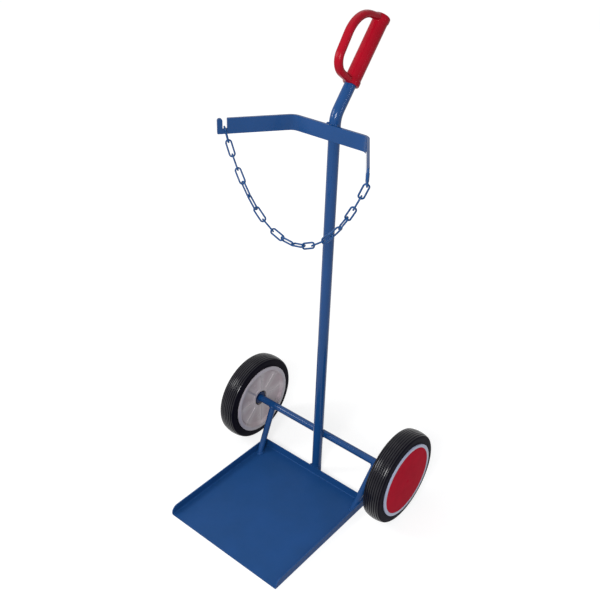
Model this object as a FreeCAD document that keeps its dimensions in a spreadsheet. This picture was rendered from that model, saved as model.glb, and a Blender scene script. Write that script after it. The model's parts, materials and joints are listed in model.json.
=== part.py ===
import FreeCAD, Part
import math
import os

import Sketcher

V = FreeCAD.Vector
Turn = FreeCAD.Rotation
Place = FreeCAD.Placement

# Gas cylinder trolley. Millimetres, +Z up, the load plate's front edge faces -Y,
# +X is the trolley's right side seen from the front. The origin lies on the floor
# under the middle of the load plate.

doc = FreeCAD.newDocument("cylinder_trolley")

SIZES = [
    # Load plate: a folded tray
    ("plate_width", 362),
    ("plate_depth", 366),
    ("plate_sheet", 3),
    ("lip_height", 25),
    ("lip_corner", 18),
    ("lip_bend", 2),
    ("lip_bend_out", 3.5),
    ("lip_seam", 2),
    # Column: one tube, bent back into the handle
    ("tube_dia", 26.9),
    ("tube_wall", 2.6),
    ("tube_foot", 2),
    ("neck_height", 1028),
    ("neck_tilt", 39),
    ("neck_bend", 50),
    # Neck bracket: a flat bar bent into a V
    ("bar_height", 35),
    ("bar_thick", 6),
    ("bar_drop", 14),
    ("bar_half", 99),
    ("bar_arm", 172),
    ("bar_flare", 54.5),
    ("bar_bend", 22),
    ("bar_corner", 2),
    ("hook_finger", 12),
    ("slot_width", 10),
    ("slot_depth", 24),
    ("finger_round", 5.5),
    # Handle grip: a moulded sleeve with a hand loop
    ("grip_dia", 36),
    ("grip_start", 76),
    ("grip_length", 164),
    ("grip_cap", 7),
    ("grip_fit", 0.1),
    ("flange_dia", 39),
    ("flange_thick", 13),
    ("flange_round", 2.5),
    ("loop_width", 21),
    ("loop_thick", 15.5),
    ("loop_low_rise", 6.5),
    ("loop_low_drop", 4.5),
    ("loop_low_reach", 78),
    ("loop_low_bend", 34),
    ("loop_high_rise", 127),
    ("loop_high_reach", 88.5),
    ("loop_high_bend", 68),
    ("loop_end_drop", 4),
    # Axle and wheels
    ("axle_dia", 20),
    ("axle_back", 19.5),
    ("wheel_dia", 254),
    ("wheel_half_track", 249.5),
    ("axle_out", 25),
    ("axle_chamfer", 1.5),
    # Struts from the axle to the load plate
    ("strut_dia", 17),
    ("strut_top_in", 1),
    ("strut_foot_in", 11),
    ("strut_foot_ahead", 38),
    # Tyre
    ("tyre_width", 50),
    ("tyre_section", 25.5),
    ("tyre_crown", 70),
    ("tyre_shoulder", 8),
    ("tread_groove", 2),
    ("tread_depth", 1.5),
    ("tread_pitch", 6.2),
    ("tread_count", 7),
    # Wheel hub
    ("rim_lip_depth", 5.5),
    ("rim_lip_width", 3.5),
    ("rim_wall", 6),
    ("dish_slope", 6),
    ("web_set_in", 8.5),
    ("web_thick", 5),
    ("boss_dia", 62),
    ("boss_rise", 1),
    ("barrel_dia", 56),
    ("barrel_out", 15),
    ("collar_well_dia", 46),
    ("collar_well_depth", 7),
    ("rib_count", 8),
    ("rib_thick", 5),
    ("rib_rise", 1.2),
    # Hub cap
    ("cap_ring", 8.5),
    ("cap_thick", 2.5),
    ("cap_crown", 1.5),
    ("cap_skirt", 9),
    ("cap_fit", 0.15),
    # Roller bearing
    ("roller_dia", 4.9),
    ("roller_count", 9),
    ("roller_length", 22),
    ("roller_fit", 0.05),
    ("sleeve_wall", 2),
    ("cage_wall", 2.4),
    ("end_gap", 0.4),
    # Axle collar, washer and split pin
    ("collar_dia", 36),
    ("collar_width", 6),
    ("washer_dia", 37),
    ("washer_thick", 3),
    ("washer_fit", 0.3),
    ("pin_dia", 4),
    ("pin_fit", 0.1),
    ("pin_eye", 5),
    # Chain
    ("link_wire", 4),
    ("link_pitch", 32),
    ("link_width", 16),
    ("link_slack", 0.9),
    ("hook_lean", 13),
    ("anchor_drop", 1.5),
]

sheet = doc.addObject("Spreadsheet::Sheet", "sizes")
for row, (alias, number) in enumerate(SIZES, start=1):
    sheet.set("A%d" % row, alias)
    sheet.set("B%d" % row, str(number))
    sheet.setAlias("B%d" % row, alias)
doc.recompute()


def size(alias):
    """Number held under an alias of the sheet."""
    return float(getattr(sheet, alias))


def expand(text):
    """Writes sheet names in full, and leaves functions and numbers alone."""
    names = sorted((alias for alias, _ in SIZES), key=len, reverse=True)
    out = ""
    word = ""
    for sign in text + " ":
        if sign.isalnum() or sign == "_":
            word += sign
        else:
            out += ("sizes." + word) if word in names else word
            out += sign
            word = ""
    return out.strip()


def number(owner, text):
    """Value of an expression over the sheet."""
    value = owner.evalExpression(expand(text))
    return float(getattr(value, "Value", value))


def new_body(label):
    body = doc.addObject("PartDesign::Body", label)
    body.Label = label
    return body


def sketch_on(body, role, name, base=None, turn_axis=None, turn=None):
    """Sketch on one of the body's own origin planes, moved or turned in that plane's frame."""
    sketch = body.newObject("Sketcher::SketchObject", name)
    plane = [item for item in body.Origin.OriginFeatures if item.Role == role][0]
    sketch.AttachmentSupport = (plane, [""])
    sketch.MapMode = "FlatFace"
    if turn_axis:
        sketch.AttachmentOffset = Place(V(), Turn(V(*turn_axis), number(body, turn)))
        sketch.setExpression("AttachmentOffset.Rotation.Angle", expand(turn))
    if base:
        for axis, text in zip("xyz", base):
            sketch.setExpression("AttachmentOffset.Base." + axis, expand(text))
    return sketch


def hold(sketch, kind, value, *where):
    """Adds a driving size to the sketch and binds it to the sheet."""
    index = sketch.addConstraint(Sketcher.Constraint(kind, *where, number(sketch, value)))
    sketch.setExpression("Constraints[%d]" % index, expand(value))


def hold_point(sketch, edge, end, x, y):
    hold(sketch, "DistanceX", x, -1, 1, edge, end)
    hold(sketch, "DistanceY", y, -1, 1, edge, end)


def outline(sketch, corners):
    """Closed polygon through corners written as pairs of expressions."""
    spots = [V(number(sketch, x), number(sketch, y), 0) for x, y in corners]
    count = len(spots)
    first = sketch.GeometryCount
    for i in range(count):
        sketch.addGeometry(Part.LineSegment(spots[i], spots[(i + 1) % count]))
    for i in range(count):
        sketch.addConstraint(Sketcher.Constraint("Coincident", first + i, 2, first + (i + 1) % count, 1))
    for i, (x, y) in enumerate(corners):
        hold_point(sketch, first + i, 1, x, y)


def circle(sketch, x, y, diameter):
    spot = V(number(sketch, x), number(sketch, y), 0)
    edge = sketch.addGeometry(Part.Circle(spot, V(0, 0, 1), number(sketch, diameter) / 2))
    hold_point(sketch, edge, 3, x, y)
    hold(sketch, "Diameter", diameter, edge)


def strap_section(sketch, x, y, width, thick):
    """Section of a flat strap with round edges, its width along the sketch's first axis."""
    reach = "(%s - %s) / 2" % (width, thick)
    low, high = "%s - %s / 2" % (y, thick), "%s + %s / 2" % (y, thick)
    west, east = "%s - %s" % (x, reach), "%s + %s" % (x, reach)
    ends = [(west, low), (east, low), (east, high), (west, high)]
    spots = [V(number(sketch, a), number(sketch, b), 0) for a, b in ends]
    first = sketch.GeometryCount
    sketch.addGeometry(Part.LineSegment(spots[0], spots[1]))
    sketch.addGeometry(Part.LineSegment(spots[2], spots[3]))
    rounds = (((spots[1] + spots[2]) / 2, -math.pi / 2), ((spots[3] + spots[0]) / 2, math.pi / 2))
    for centre, start in rounds:
        round_edge = Part.Circle(centre, V(0, 0, 1), number(sketch, thick) / 2)
        sketch.addGeometry(Part.ArcOfCircle(round_edge, start, start + math.pi))
    for before, after in ((0, 2), (2, 1), (1, 3), (3, 0)):
        sketch.addConstraint(Sketcher.Constraint("Coincident", first + before, 2, first + after, 1))
    for i, (a, b) in enumerate(ends):
        hold_point(sketch, first + i // 2, 1 + i % 2, a, b)
    hold(sketch, "DistanceX", east, -1, 1, first + 2, 3)
    hold(sketch, "DistanceX", west, -1, 1, first + 3, 3)


def bent_path(sketch, corners, bends):
    """Open path through corners written as pairs of expressions, rounded at each inner corner."""
    spots = [V(number(sketch, x), number(sketch, y), 0) for x, y in corners]
    cuts = []
    for i, bend in enumerate(bends, start=1):
        before = (spots[i - 1] - spots[i]).normalize()
        after = (spots[i + 1] - spots[i]).normalize()
        half = before.getAngle(after) / 2
        radius = number(sketch, bend)
        cuts.append((spots[i] + before * (radius / math.tan(half)),
                     spots[i] + (before + after).normalize() * (radius / math.sin(half)),
                     spots[i] + after * (radius / math.tan(half)), radius))
    start = spots[0]
    for begin, _, finish, _ in cuts:
        sketch.addGeometry(Part.LineSegment(start, begin))
        start = finish
    sketch.addGeometry(Part.LineSegment(start, spots[-1]))
    lines = len(cuts) + 1
    for i, (begin, centre, finish, radius) in enumerate(cuts):
        first = math.atan2(begin.y - centre.y, begin.x - centre.x)
        last = math.atan2(finish.y - centre.y, finish.x - centre.x)
        leftward = (begin - spots[i]).cross(finish - begin).z > 0
        if not leftward:
            first, last = last, first
        if last < first:
            last += 2 * math.pi
        arc = sketch.addGeometry(Part.ArcOfCircle(Part.Circle(centre, V(0, 0, 1), radius), first, last))
        near_end, far_end = (1, 2) if leftward else (2, 1)
        sketch.addConstraint(Sketcher.Constraint("Tangent", i, 2, arc, near_end))
        sketch.addConstraint(Sketcher.Constraint("Tangent", i + 1, 1, arc, far_end))
        hold(sketch, "Radius", bends[i], arc)
    for i in range(1, lines):
        mark = sketch.addGeometry(Part.Point(spots[i]), True)
        hold_point(sketch, mark, 1, *corners[i])
        sketch.addConstraint(Sketcher.Constraint("PointOnObject", mark, 1, i - 1))
        sketch.addConstraint(Sketcher.Constraint("PointOnObject", mark, 1, i))
    hold_point(sketch, 0, 1, *corners[0])
    hold_point(sketch, lines - 1, 2, *corners[-1])


def feature(body, kind, name, **sizes):
    """Adds a feature. Text values are expressions, other values are set as they are."""
    item = body.newObject("PartDesign::" + kind, name)
    for key, value in sizes.items():
        if isinstance(value, str):
            item.setExpression(key, expand(value))
        else:
            setattr(item, key, value)
    return item


def revolve(body, name, corners, cut=False):
    """Turns a profile, drawn as distance along and radius about X, round the X axis."""
    sketch = sketch_on(body, "XY_Plane", name + "_profile")
    outline(sketch, corners)
    kind = "Groove" if cut else "Revolution"
    item = feature(body, kind, name, Profile=sketch, Angle=360.0)
    item.ReferenceAxis = (sketch, ["H_Axis"])
    sketch.Visibility = False
    doc.recompute()
    return item


def edges_where(item, test):
    """Names of the edges whose middle and box pass the test."""
    found = []
    for i, edge in enumerate(item.Shape.Edges, start=1):
        middle = edge.valueAt((edge.FirstParameter + edge.LastParameter) / 2)
        if test(edge, middle):
            found.append("Edge%d" % i)
    return found


def fillet(body, name, base, test, radius):
    names = edges_where(base, test)
    if not names:
        raise RuntimeError(name + " finds no edge")
    item = feature(body, "Fillet", name, Base=(base, names), Radius=radius)
    doc.recompute()
    return item


def near(a, b, reach=0.05):
    return abs(a - b) < reach


def along(edge, axis):
    """True for a straight edge parallel to an axis."""
    ends = [vertex.Point for vertex in edge.Vertexes]
    if len(ends) != 2 or edge.Curve.TypeId != "Part::GeomLine":
        return False
    run = ends[1] - ends[0]
    return near(abs(run.dot(V(*axis))), run.Length, 0.01)


def set_place(item, x="0", y="0", z="0", axis=None, angle=None):
    if axis:
        item.Placement = Place(V(), Turn(V(*axis), number(item, angle)))
        item.setExpression("Placement.Rotation.Angle", expand(angle))
    for letter, text in zip("xyz", (x, y, z)):
        item.setExpression("Placement.Base." + letter, expand(text))


PARTS = []

# Places that several pieces share
COLUMN_Y = "(plate_depth / 2 + tube_dia / 2)"
AXLE_Y = "(plate_depth / 2 + tube_dia / 2 + axle_back)"
WHEEL_RADIUS = "(wheel_dia / 2)"
BAR_FRONT = "(plate_depth / 2 - bar_thick)"
BAR_TOP = "(neck_height - bar_drop)"
GRIP_END = "(grip_start + grip_length)"

# Load plate: a pad hollowed from above, with the front edge left open

body = new_body("load_plate")
sketch = sketch_on(body, "XY_Plane", "plate_outline")
outline(sketch, [("-plate_width / 2", "-plate_depth / 2"), ("plate_width / 2", "-plate_depth / 2"),
                 ("plate_width / 2", "plate_depth / 2"), ("-plate_width / 2", "plate_depth / 2")])
tray = feature(body, "Pad", "plate_pad", Profile=sketch, Length="lip_height")
sketch = sketch_on(body, "XY_Plane", "plate_hollow", base=("0", "0", "lip_height"))
outline(sketch, [("plate_sheet - plate_width / 2", "-plate_depth / 2 - plate_sheet"),
                 ("plate_width / 2 - plate_sheet", "-plate_depth / 2 - plate_sheet"),
                 ("plate_width / 2 - plate_sheet", "plate_depth / 2 - plate_sheet"),
                 ("plate_sheet - plate_width / 2", "plate_depth / 2 - plate_sheet")])
tray = feature(body, "Pocket", "plate_pocket", Profile=sketch, Length="lip_height - plate_sheet")
doc.recompute()
side = size("plate_width") / 2
back = size("plate_depth") / 2
inner = size("plate_sheet")
tray = fillet(body, "lip_corners", tray,
              lambda e, m: along(e, (1, 0, 0)) and near(m.y, -back) and near(m.z, size("lip_height"))
              and abs(m.x) > side - inner, "lip_corner")
tray = fillet(body, "rear_seams", tray,
              lambda e, m: along(e, (0, 0, 1)) and near(m.y, back) and near(abs(m.x), side), "lip_seam")
tray = fillet(body, "inside_bends", tray,
              lambda e, m: near(m.z, inner) and (near(abs(m.x), side - inner) or near(m.y, back - inner)),
              "lip_bend")
tray = fillet(body, "outside_bends", tray,
              lambda e, m: near(m.z, 0) and not near(m.y, -back)
              and (abs(m.x) > side - inner or m.y > back - inner),
              "lip_bend_out")
PARTS.append(body)

# Column: a bent tube with a saddle for the axle in its back

body = new_body("column_tube")
path = sketch_on(body, "YZ_Plane", "column_path")
run = "(%s - grip_cap)" % GRIP_END
bent_path(path, [(COLUMN_Y, "tube_foot"), (COLUMN_Y, "neck_height"),
                 (COLUMN_Y + " + %s * sin(neck_tilt)" % run, "neck_height + %s * cos(neck_tilt)" % run)],
          ["neck_bend"])
for name, diameter, kind in (("tube_outside", "tube_dia", "AdditivePipe"),
                             ("tube_bore", "tube_dia - 2 * tube_wall", "SubtractivePipe")):
    ring = sketch_on(body, "XY_Plane", name, base=("0", "0", "tube_foot"))
    circle(ring, "0", COLUMN_Y, diameter)
    pipe = feature(body, kind, name + "_sweep", Profile=ring, Spine=path)
    doc.recompute()
sketch = sketch_on(body, "YZ_Plane", "axle_saddle")
circle(sketch, AXLE_Y, WHEEL_RADIUS, "axle_dia")
feature(body, "Pocket", "axle_saddle_cut", Profile=sketch, Midplane=True, Length="2 * tube_dia")
doc.recompute()
PARTS.append(body)

# Neck bracket: its plan outline, raised to the bar's height, then bent corners and the hook slot

body = new_body("neck_bracket")
flare_x = "cos(bar_flare)"
flare_y = "sin(bar_flare)"
miter = "bar_thick * tan(bar_flare / 2)"
tip_x = "(bar_half + bar_arm * %s)" % flare_x
tip_y = "(%s - bar_arm * %s)" % (BAR_FRONT, flare_y)
sketch = sketch_on(body, "XY_Plane", "bar_plan", base=("0", "0", BAR_TOP + " - bar_height"))
right = [("bar_half", BAR_FRONT),
         (tip_x, tip_y),
         (tip_x + " + bar_thick * " + flare_y, tip_y + " + bar_thick * " + flare_x),
         ("bar_half + " + miter, BAR_FRONT + " + bar_thick")]
left = [("-(%s)" % x, y) for x, y in reversed(right)]
outline(sketch, right + left)
bar = feature(body, "Pad", "bar_pad", Profile=sketch, Length="bar_height")
doc.recompute()
front = number(body, BAR_FRONT)
bar = fillet(body, "inner_bends", bar,
             lambda e, m: along(e, (0, 0, 1)) and near(m.y, front) and near(abs(m.x), size("bar_half")),
             "bar_bend")
bar = fillet(body, "outer_bends", bar,
             lambda e, m: along(e, (0, 0, 1)) and near(m.y, front + size("bar_thick"))
             and abs(m.x) > size("bar_half"),
             "bar_bend + bar_thick")
sketch = sketch_on(body, "XZ_Plane", "hook_slot", base=("-" + tip_x, "0", "-" + tip_y),
                   turn_axis=(0, 1, 0), turn="bar_flare")
outline(sketch, [("hook_finger", BAR_TOP + " - slot_depth"),
                 ("hook_finger + slot_width", BAR_TOP + " - slot_depth"),
                 ("hook_finger + slot_width", BAR_TOP + " + bar_thick"),
                 ("hook_finger", BAR_TOP + " + bar_thick")])
bar = feature(body, "Pocket", "hook_slot_cut", Profile=sketch, Midplane=True, Length="4 * bar_thick")
doc.recompute()
facing = V(math.sin(math.radians(size("bar_flare"))), -math.cos(math.radians(size("bar_flare"))), 0)
tip = V(-number(body, tip_x), number(body, tip_y), 0)
inward = V(-facing.y, facing.x, 0)
bar_top = number(body, BAR_TOP)
bar_low = bar_top - size("bar_height")


def from_tip(middle):
    return (middle - tip).dot(inward)


bar = fillet(body, "finger_round", bar,
             lambda e, m: along(e, facing) and m.x < 0 and near(m.z, bar_top)
             and from_tip(m) < size("hook_finger") + 0.1, "finger_round")
slot_end = size("hook_finger") + size("slot_width")
bar = fillet(body, "bar_corners", bar,
             lambda e, m: (along(e, facing) and m.x < 0 and
                           ((near(m.z, bar_low) and from_tip(m) < 0.1)
                            or (near(m.z, bar_top) and near(from_tip(m), slot_end))
                            or near(m.z, bar_top - size("slot_depth"))))
             or (along(e, (facing.x, -facing.y, 0)) and m.x > 0
                 and (near(m.z, bar_top) or near(m.z, bar_low))),
             "bar_corner")
PARTS.append(body)

# Handle grip, in the handle's own frame: Z runs up the handle, the hand loop is on -Y

body = new_body("handle_grip")
set_place(body, y=COLUMN_Y, z="neck_height", axis=(-1, 0, 0), angle="neck_tilt")
bore = "(tube_dia / 2 + grip_fit)"
sketch = sketch_on(body, "YZ_Plane", "sleeve_profile")
outline(sketch, [(bore, "grip_start"),
                 ("flange_dia / 2", "grip_start"),
                 ("flange_dia / 2", "grip_start + flange_thick"),
                 ("grip_dia / 2", "grip_start + flange_thick"),
                 ("grip_dia / 2", GRIP_END + " - flange_thick"),
                 ("flange_dia / 2", GRIP_END + " - flange_thick"),
                 ("flange_dia / 2", GRIP_END),
                 ("0", GRIP_END),
                 ("0", GRIP_END + " - grip_cap + grip_fit"),
                 (bore, GRIP_END + " - grip_cap + grip_fit")])
grip = feature(body, "Revolution", "sleeve", Profile=sketch, Angle=360.0)
grip.ReferenceAxis = (sketch, ["V_Axis"])
doc.recompute()
flange = size("flange_dia") / 2
ends = [size("grip_start"), size("grip_start") + size("grip_length")]
grip = fillet(body, "grip_end_edges", grip,
              lambda e, m: near(math.hypot(m.x, m.y), flange) and (near(m.z, ends[0]) or near(m.z, ends[1])),
              "flange_round")
steps = [ends[0] + size("flange_thick"), ends[1] - size("flange_thick")]
grip = fillet(body, "flange_edges", grip,
              lambda e, m: near(math.hypot(m.x, m.y), flange) and any(near(m.z, step) for step in steps),
              "flange_round / 2")
path = sketch_on(body, "YZ_Plane", "loop_path")
foot = "grip_start + loop_low_rise"
bent_path(path, [("0", foot), ("-loop_low_reach", foot + " - loop_low_drop"),
                 ("-loop_high_reach", "grip_start + loop_high_rise"), ("0", GRIP_END + " - loop_end_drop")],
          ["loop_low_bend", "loop_high_bend"])
ring = sketch_on(body, "XZ_Plane", "loop_section")
strap_section(ring, "0", foot, "loop_width", "loop_thick")
grip = feature(body, "AdditivePipe", "loop", Profile=ring, Spine=path)
doc.recompute()
sketch = sketch_on(body, "XY_Plane", "bore_section", base=("0", "0", "grip_start - loop_thick"))
circle(sketch, "0", "0", "2 * " + bore)
grip = feature(body, "Pocket", "tube_bore", Profile=sketch, Reversed=True,
               Length="loop_thick + grip_length - grip_cap + grip_fit")
doc.recompute()
PARTS.append(body)

# Axle bar with a cross hole near each end for its split pin

body = new_body("axle_bar")
set_place(body, y=AXLE_Y, z=WHEEL_RADIUS)
sketch = sketch_on(body, "YZ_Plane", "axle_round")
circle(sketch, "0", "0", "axle_dia")
axle = feature(body, "Pad", "axle_pad", Profile=sketch, Midplane=True,
               Length="2 * (wheel_half_track + axle_out)")
doc.recompute()
sketch = sketch_on(body, "XY_Plane", "pin_holes")
pin_at = "(wheel_half_track + barrel_out + washer_fit + washer_thick + washer_fit + pin_dia / 2)"
circle(sketch, pin_at, "0", "pin_dia + 2 * pin_fit")
circle(sketch, "-" + pin_at, "0", "pin_dia + 2 * pin_fit")
axle = feature(body, "Pocket", "pin_hole_cut", Profile=sketch, Midplane=True, Length="2 * axle_dia")
doc.recompute()
axle_end = number(body, "wheel_half_track + axle_out")
axle = feature(body, "Chamfer", "axle_ends",
               Base=(axle, edges_where(axle, lambda e, m: near(abs(m.x), axle_end))), Size="axle_chamfer")
doc.recompute()
PARTS.append(body)

# Struts: round bars cut to the axle above and to the plate below

for label, hand in (("strut_left", "-1"), ("strut_right", "1")):
    top_x = "(%s * (plate_width / 2 - strut_top_in))" % hand
    foot_x = "(%s * (plate_width / 2 - plate_sheet - strut_foot_in))" % hand
    foot_y = "(plate_depth / 2 - strut_foot_ahead)"
    run_x = "(%s - %s)" % (top_x, foot_x)
    run_y = "(%s - %s)" % (AXLE_Y, foot_y)
    run_z = "(%s - plate_sheet)" % WHEEL_RADIUS
    bar = doc.addObject("Part::Cylinder", label + "_round")
    bar.setExpression("Radius", expand("strut_dia / 2"))
    long = "sqrt(%s * %s + %s * %s + %s * %s)" % (run_x, run_x, run_y, run_y, run_z, run_z)
    bar.setExpression("Height", expand(long + " + strut_dia"))
    flat = "sqrt(%s * %s + %s * %s)" % (run_x, run_x, run_y, run_y)
    bar.Placement = Place(V(), Turn(V(-number(bar, run_y), number(bar, run_x), 0), 10))
    bar.setExpression("Placement.Rotation.Axis.x", expand("-%s / %s" % (run_y, flat)))
    bar.setExpression("Placement.Rotation.Axis.y", expand("%s / %s" % (run_x, flat)))
    bar.setExpression("Placement.Rotation.Angle", expand("atan2(%s; %s)" % (flat, run_z)))
    share = "(strut_dia / %s)" % long
    for letter, start, run in (("x", foot_x, run_x), ("y", foot_y, run_y), ("z", "plate_sheet", run_z)):
        bar.setExpression("Placement.Base." + letter, expand("%s - %s * %s" % (start, run, share)))
    below = doc.addObject("Part::Box", label + "_floor")
    for key, text in (("Length", "4 * strut_dia"), ("Width", "4 * strut_dia"), ("Height", "2 * strut_dia")):
        below.setExpression(key, expand(text))
    set_place(below, foot_x + " - 2 * strut_dia", foot_y + " - 2 * strut_dia",
              "plate_sheet - 2 * strut_dia")
    over = doc.addObject("Part::Cylinder", label + "_axle")
    over.setExpression("Radius", expand("axle_dia / 2"))
    over.setExpression("Height", expand("4 * strut_dia"))
    set_place(over, top_x + " - 2 * strut_dia", AXLE_Y, WHEEL_RADIUS, axis=(0, 1, 0), angle="90")
    beyond = doc.addObject("Part::Box", label + "_beyond")
    for key, text in (("Length", "4 * strut_dia"), ("Width", "4 * strut_dia"), ("Height", "2 * strut_dia")):
        beyond.setExpression(key, expand(text))
    set_place(beyond, top_x + " - 2 * strut_dia", AXLE_Y + " - 2 * strut_dia", WHEEL_RADIUS)
    tools = doc.addObject("Part::MultiFuse", label + "_tools")
    tools.Shapes = [below, over, beyond]
    strut = doc.addObject("Part::Cut", label)
    strut.Label = label
    strut.Base = bar
    strut.Tool = tools
    PARTS.append(strut)
doc.recompute()

# Wheels: every piece is drawn about X with the trolley on its -X side, and the left set is turned round

HUB_IN = "(tyre_width / 2 + rim_lip_width)"
SEAT_R = "(wheel_dia / 2 - tyre_section - rim_lip_depth)"
LIP_R = "(wheel_dia / 2 - tyre_section)"
RIM_R = "(wheel_dia / 2 - tyre_section - rim_lip_depth - rim_wall)"
CAP_R = "(wheel_dia / 2 - tyre_section - cap_ring)"
BORE_R = "(axle_dia / 2 + roller_dia + 2 * roller_fit)"
SLEEVE_R = "(axle_dia / 2 + roller_dia + 2 * roller_fit + sleeve_wall)"
WEB = "(web_set_in - tyre_width / 2 - rim_lip_width)"
WELL = "(collar_well_depth + web_set_in - tyre_width / 2 - rim_lip_width)"

for suffix, turned in (("left", "180"), ("right", "0")):
    hand = -1 if suffix == "left" else 1

    def wheel_body(name):
        item = new_body(name + "_" + suffix)
        set_place(item, "%d * wheel_half_track" % hand, AXLE_Y, WHEEL_RADIUS, axis=(0, 0, 1), angle=turned)
        PARTS.append(item)
        return item

    # Tyre: solid rubber held between the rim's lips, with running grooves round the tread
    body = wheel_body("tyre")
    tread_side = "(wheel_dia / 2 - tyre_crown + sqrt(tyre_crown * tyre_crown - tyre_width * tyre_width / 4))"
    sketch = sketch_on(body, "XY_Plane", "tyre_profile")
    ends = [("tyre_width / 2", tread_side), ("tyre_width / 2", SEAT_R),
            ("-tyre_width / 2", SEAT_R), ("-tyre_width / 2", tread_side)]
    spots = [V(number(sketch, x), number(sketch, y), 0) for x, y in ends]
    for i in range(3):
        sketch.addGeometry(Part.LineSegment(spots[i], spots[i + 1]))
    crown = V(0, number(sketch, "wheel_dia / 2"), 0)
    sketch.addGeometry(Part.Arc(spots[0], crown, spots[3]))
    for i in range(2):
        sketch.addConstraint(Sketcher.Constraint("Coincident", i, 2, i + 1, 1))
    sketch.addConstraint(Sketcher.Constraint("Coincident", 3, 1, 0, 1))
    sketch.addConstraint(Sketcher.Constraint("Coincident", 3, 2, 2, 2))
    for i, (x, y) in enumerate(ends[:3]):
        hold_point(sketch, i, 1, x, y)
    hold_point(sketch, 2, 2, *ends[3])
    hold(sketch, "DistanceY", "wheel_dia / 2 - tyre_crown", -1, 1, 3, 3)
    tyre = feature(body, "Revolution", "tyre_ring", Profile=sketch, Angle=360.0)
    tyre.ReferenceAxis = (sketch, ["H_Axis"])
    doc.recompute()
    edge_r = number(body, tread_side)
    tyre = fillet(body, "shoulders", tyre,
                  lambda e, m: near(abs(m.x), size("tyre_width") / 2)
                  and near(math.hypot(m.y, m.z), edge_r), "tyre_shoulder")
    sketch = sketch_on(body, "XY_Plane", "tread_grooves_profile")
    for k in range(int(size("tread_count"))):
        at = "((%d - (tread_count - 1) / 2) * tread_pitch)" % k
        crown_r = "(wheel_dia / 2 - tyre_crown + sqrt(tyre_crown * tyre_crown - %s * %s))" % (at, at)
        outline(sketch, [(at + " - tread_groove / 2", "wheel_dia / 2 + tread_depth"),
                         (at + " - tread_groove / 2", crown_r + " - tread_depth"),
                         (at + " + tread_groove / 2", crown_r + " - tread_depth"),
                         (at + " + tread_groove / 2", "wheel_dia / 2 + tread_depth")])
    tyre = feature(body, "Groove", "tread_grooves", Profile=sketch, Angle=360.0)
    tyre.ReferenceAxis = (sketch, ["H_Axis"])
    doc.recompute()

    # Hub: rim, web, boss with the well for the collar, and ribs on both faces of the web
    body = wheel_body("wheel_hub")
    revolve(body, "hub_section", [
        ("-" + HUB_IN, RIM_R),
        ("-" + HUB_IN, LIP_R),
        ("rim_lip_width - " + HUB_IN, LIP_R),
        ("rim_lip_width - " + HUB_IN, SEAT_R),
        ("%s - rim_lip_width" % HUB_IN, SEAT_R),
        ("%s - rim_lip_width" % HUB_IN, LIP_R),
        (HUB_IN, LIP_R),
        (HUB_IN, CAP_R + " + cap_fit"),
        ("%s - cap_thick" % HUB_IN, CAP_R + " + cap_fit"),
        ("%s - cap_thick" % HUB_IN, RIM_R),
        (WEB + " + web_thick", RIM_R),
        (WEB + " + web_thick", "barrel_dia / 2"),
        ("barrel_out", "barrel_dia / 2"),
        ("barrel_out", SLEEVE_R),
        (WELL, SLEEVE_R),
        (WELL, "collar_well_dia / 2"),
        (WEB + " - boss_rise", "collar_well_dia / 2"),
        (WEB + " - boss_rise", "boss_dia / 2"),
        (WEB, "boss_dia / 2 + boss_rise"),
        (WEB, RIM_R + " - dish_slope")])
    for name, low, high, root in (
            ("inner_rib", WEB + " - rib_rise", WEB + " + 1", "(boss_dia / 2 + boss_rise)"),
            ("outer_rib", WEB + " + web_thick - 1", "barrel_out", "(barrel_dia / 2)")):
        sketch = sketch_on(body, "YZ_Plane", name + "_outline", base=("0", "0", low))
        outline(sketch, [("-rib_thick / 2", root + " - 1"), ("rib_thick / 2", root + " - 1"),
                         ("rib_thick / 2", RIM_R + " + 1"), ("-rib_thick / 2", RIM_R + " + 1")])
        rib = feature(body, "Pad", name, Profile=sketch, Length="(%s) - (%s)" % (high, low))
        doc.recompute()
        ribs = feature(body, "PolarPattern", name + "s", Originals=[rib], Angle=360.0,
                       Occurrences="rib_count")
        ribs.Axis = ([item for item in body.Origin.OriginFeatures if item.Role == "X_Axis"][0], [""])
        body.Tip = ribs
        doc.recompute()

    # Hub cap: a crowned disc in the rim's rebate, with a skirt that grips inside the rim
    body = wheel_body("hub_cap")
    skirt = RIM_R + " - cap_fit"
    revolve(body, "cap_section", [
        ("%s + cap_crown" % HUB_IN, "0"),
        ("%s + cap_crown * 0.75" % HUB_IN, CAP_R + " * 0.5"),
        (HUB_IN, CAP_R),
        ("%s - cap_thick" % HUB_IN, CAP_R),
        ("%s - cap_thick" % HUB_IN, skirt),
        ("%s - cap_thick - cap_skirt" % HUB_IN, skirt),
        ("%s - cap_thick - cap_skirt" % HUB_IN, skirt + " - cap_thick"),
        ("%s - cap_thick" % HUB_IN, skirt + " - cap_thick"),
        ("%s + cap_crown * 0.75 - cap_thick" % HUB_IN, CAP_R + " * 0.5"),
        ("%s + cap_crown - cap_thick" % HUB_IN, "0")])

    # Bearing sleeve pressed in the hub
    body = wheel_body("bearing_sleeve")
    revolve(body, "sleeve_section", [(WELL, BORE_R), ("barrel_out", BORE_R),
                                     ("barrel_out", SLEEVE_R), (WELL, SLEEVE_R)])

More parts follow.
